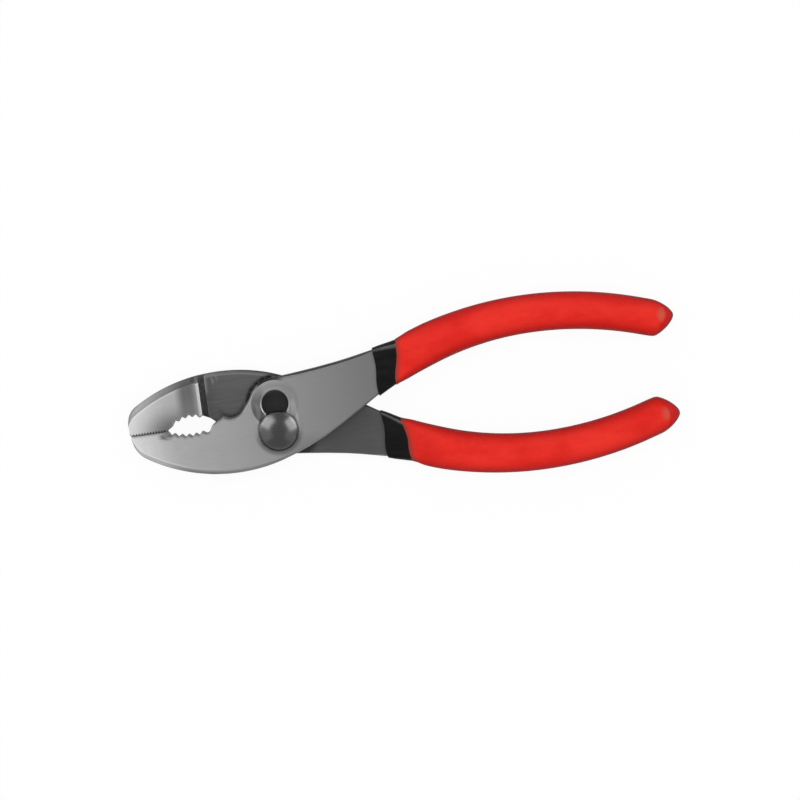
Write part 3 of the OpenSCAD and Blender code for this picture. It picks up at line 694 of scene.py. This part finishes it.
def dipped_coat(node, name, under=None):
    """A coat with a mouth that wanders as a dip line does, and a lip that thins towards a coat under it."""
    coat = copy_of(node, name)
    middle, facing = mouth_of(coat)
    across = facing.cross(Vector((0, 0, 1)))
    smooth_skin(coat)
    ground = under and BVHTree.FromPolygons(
        [vertex.co for vertex in under.data.vertices],
        [list(face.vertices) for face in under.data.polygons],
    )
    depth = coat.data.attributes.new("from_mouth", "FLOAT", "POINT")
    for vertex, value in zip(coat.data.vertices, depth.data):
        away = vertex.co - middle
        value.value = -away.dot(facing)
        grown = min(max(value.value / LIP_REACH, 0.0), 1.0)
        if ground and grown < 1:
            foot = ground.find_nearest(vertex.co)[0]
            share = LIP_SHARE + (1 - LIP_SHARE) * grown * grown * (3 - 2 * grown)
            vertex.co = foot + (vertex.co - foot) * share
        fade = max(0.0, 1 - value.value / MOUTH_REACH)
        turn = away.dot(across) / WAVE_LENGTH + away.z / (2 * WAVE_LENGTH)
        vertex.co += facing * WAVE_HEIGHT * fade * fade * math.sin(2 * math.pi * turn)
    return coat


front_steel = forged_steel("front_lever_ground_steel", front_marks)
rear_steel = forged_steel("rear_lever_ground_steel", rear_marks)
bolt_steel = turned_steel("bolt_turned_steel", 0.115)
nut_steel = turned_steel("nut_steel", 0.24)
base_vinyl = black_vinyl("grip_base_black_vinyl")
front_vinyl = red_vinyl("front_grip_red_vinyl", FRONT_TAIL, FRONT_TAIL_TURN)
rear_vinyl = red_vinyl("rear_grip_red_vinyl", REAR_TAIL, REAR_TAIL_TURN)

front_lever = forged_lever("front_lever", "front_lever_forging")
finish_piece(front_lever, "front_lever", "front_half", front_steel)
rear_lever = forged_lever("rear_lever", "rear_lever_forging")
finish_piece(rear_lever, "rear_lever", "rear_half", rear_steel)
pivot_bolt = turned_piece("pivot_bolt", "pivot_bolt_turned", BOLT_RIM)
finish_piece(pivot_bolt, "pivot_bolt", "pivot", bolt_steel)
pivot_nut = turned_piece("pivot_nut", "pivot_nut_hexagon", NUT_RIM)
finish_piece(pivot_nut, "pivot_nut", "pivot", nut_steel)
for half, vinyl in (("front", front_vinyl), ("rear", rear_vinyl)):
    base = dipped_coat(half + "_grip_base", half + "_grip_black_dip")
    finish_piece(base, half + "_grip_base", half + "_half", base_vinyl)
    cover = dipped_coat(half + "_grip_cover", half + "_grip_red_dip", base)
    finish_piece(cover, half + "_grip_cover", half + "_half", vinyl)


# Studio
def studio_floor():
    """Pale floor just under the tool, which the camera and reflections see as nearly plain white."""
    bpy.ops.object.select_all(action="DESELECT")
    bpy.ops.mesh.primitive_plane_add(size=FLOOR_SIZE, location=(0, 0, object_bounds()[0][2] - FLOOR_GAP))
    floor = bpy.context.object
    floor.name = "studio_floor"
    f = Finish("white_floor")
    tree = f.tree
    rays = tree.nodes.new("ShaderNodeLightPath")
    seen = f.math("MAXIMUM", rays.outputs["Is Camera Ray"], rays.outputs["Is Glossy Ray"])
    seen = f.math("MAXIMUM", seen, rays.outputs["Is Transmission Ray"])
    f.set(base_color=(0.95, 0.95, 0.95, 1), roughness=0.9)
    white = tree.nodes.new("ShaderNodeEmission")
    both = tree.nodes.new("ShaderNodeMixShader")
    tree.links.new(f.math("MULTIPLY", seen, FLOOR_WHITE), both.inputs["Fac"])
    tree.links.new(f.shader.outputs["BSDF"], both.inputs[1])
    tree.links.new(white.outputs["Emission"], both.inputs[2])
    tree.links.new(both.outputs["Shader"], tree.nodes["Material Output"].inputs["Surface"])
    floor.data.materials.append(f.material)
    floor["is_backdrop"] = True


def studio_camera():
    """Camera straight over the tool, in the photo's frame."""
    lens = bpy.data.cameras.new("photo_camera")
    lens.sensor_width = CAMERA_SENSOR
    lens.lens = lens.sensor_width * CAMERA_DISTANCE / PHOTO_WIDTH
    lens.clip_end = CAMERA_CLIP
    camera = bpy.data.objects.new("photo_camera", lens)
    turn = Matrix((image_right, image_up, Vector((0, 0, 1)))).transposed()
    camera.matrix_world = Matrix.Translation(PHOTO_CENTRE + Vector((0, 0, CAMERA_DISTANCE))) @ turn.to_4x4()
    bpy.context.scene.collection.objects.link(camera)
    bpy.context.scene.camera = camera


def softbox(name, around, above, distance, size, shine):
    """A rectangular lamp, placed by its angles about the picture's middle, of a set brightness."""
    around, above = math.radians(around), math.radians(above)
    level = image_right * math.cos(around) + image_up * math.sin(around)
    place = PHOTO_CENTRE + distance * (level * math.cos(above) + Vector((0, 0, math.sin(above))))
    lamp = bpy.data.lights.new(name, "AREA")
    lamp.shape = "RECTANGLE"
    lamp.size, lamp.size_y = size
    lamp.energy = shine * math.pi * size[0] * size[1]
    box = bpy.data.objects.new(name, lamp)
    box.location = place
    box.rotation_euler = (PHOTO_CENTRE - place).to_track_quat("-Z", "Y").to_euler()
    bpy.context.scene.collection.objects.link(box)
    return box


def studio_light():
    """Soft white light from all round, with the side lamps and the lamp over the tool."""
    world = bpy.data.worlds.new("studio_world")
    bpy.context.scene.world = world
    world.use_nodes = True
    background = world.node_tree.nodes["Background"]
    background.inputs["Color"].default_value = (1, 1, 1, 1)
    background.inputs["Strength"].default_value = WORLD_LIGHT
    for name, around, above, size, shine in SIDE_LAMPS:
        side = softbox(name, around, above, SIDE_DISTANCE, size, shine)
        side.visible_diffuse = False
    front = softbox(*FRONT_LAMP)
    front.visible_glossy = False


studio_floor()
studio_camera()
studio_light()
bpy.context.scene.view_settings.view_transform = "Standard"
